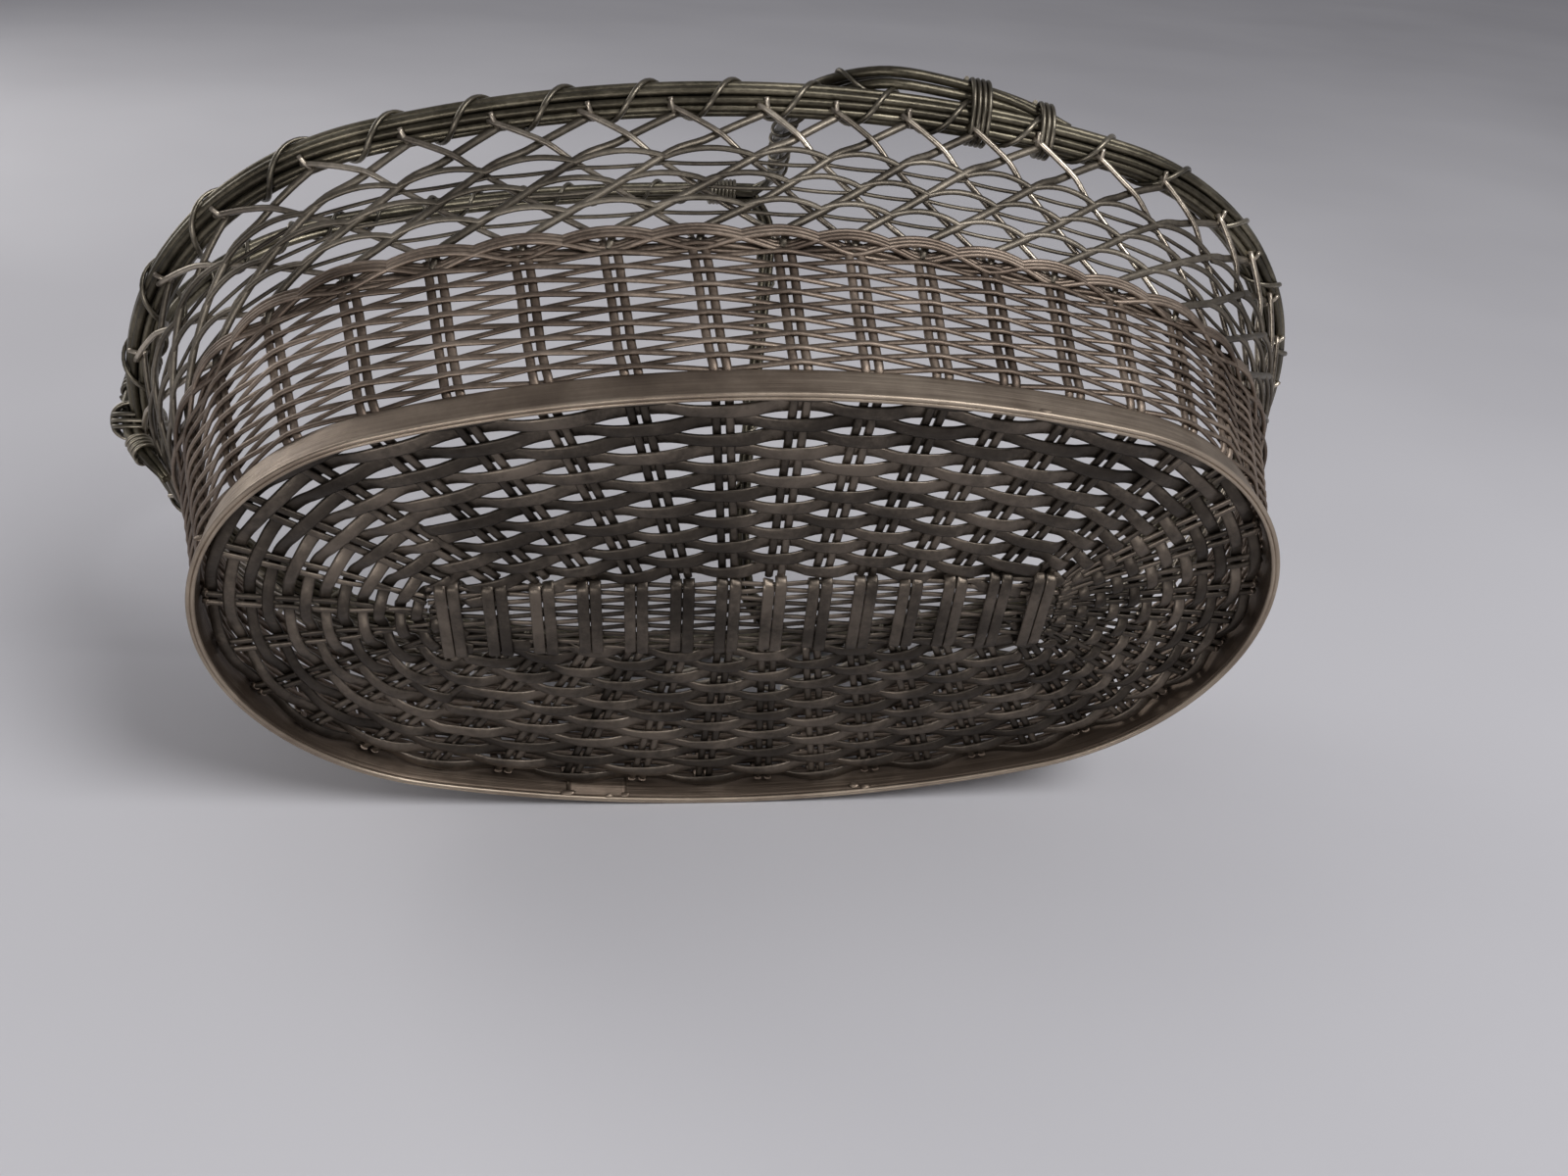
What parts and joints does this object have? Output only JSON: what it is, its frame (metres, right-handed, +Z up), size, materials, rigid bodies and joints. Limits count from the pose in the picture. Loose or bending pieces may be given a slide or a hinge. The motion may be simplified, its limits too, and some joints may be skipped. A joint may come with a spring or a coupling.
{
  "type": "wire basket",
  "caption": "Oval woven-wire basket with an open lattice border, bound rim and a raised bow handle that forks onto both long sides.",
  "frame": {"origin": "centre of the overall length and width, on the surface that the foot band stands on", "axes": "+X along the length to the open front end, the handle rises at -X; +Y across; +Z up"},
  "size_m": [0.2802, 0.1816, 0.166],
  "materials": {
    "band": "worn silver plate, warm, finely brushed along the strip",
    "base": "tarnished silver plate, dark grey",
    "side": "tarnished silver plate, warm grey",
    "lattice": "silver plate wire, half bright",
    "rim": "tarnished silver plate wire, olive grey",
    "binder": "silver plate binding wire, half bright"
  },
  "bodies": {
    "root": {"foot_band": "band", "foot_band_lap": "band", "foot_edge_wire": "band", "spine_bars": "base", "spine_wires": "base", "base_stakes": "base", "end_stakes": "base", "base_weavers": "base", "base_sheet": "base", "side_sheet": "side", "side_weavers": "side", "side_stakes": "side", "waist_border": "side", "lattice_left": "lattice", "lattice_right": "lattice", "lattice_ties": "lattice", "rim_core": "rim", "rim_wires": "rim", "rim_binder": "binder", "rim_tails": "lattice", "handle_bow": "rim", "bow_binder": "binder", "junction_binding": "binder", "rear_binding": "binder", "leg_near": "rim", "leg_far": "rim", "leg_binding_near": "binder", "leg_binding_far": "binder"}
  },
  "joints": []
}
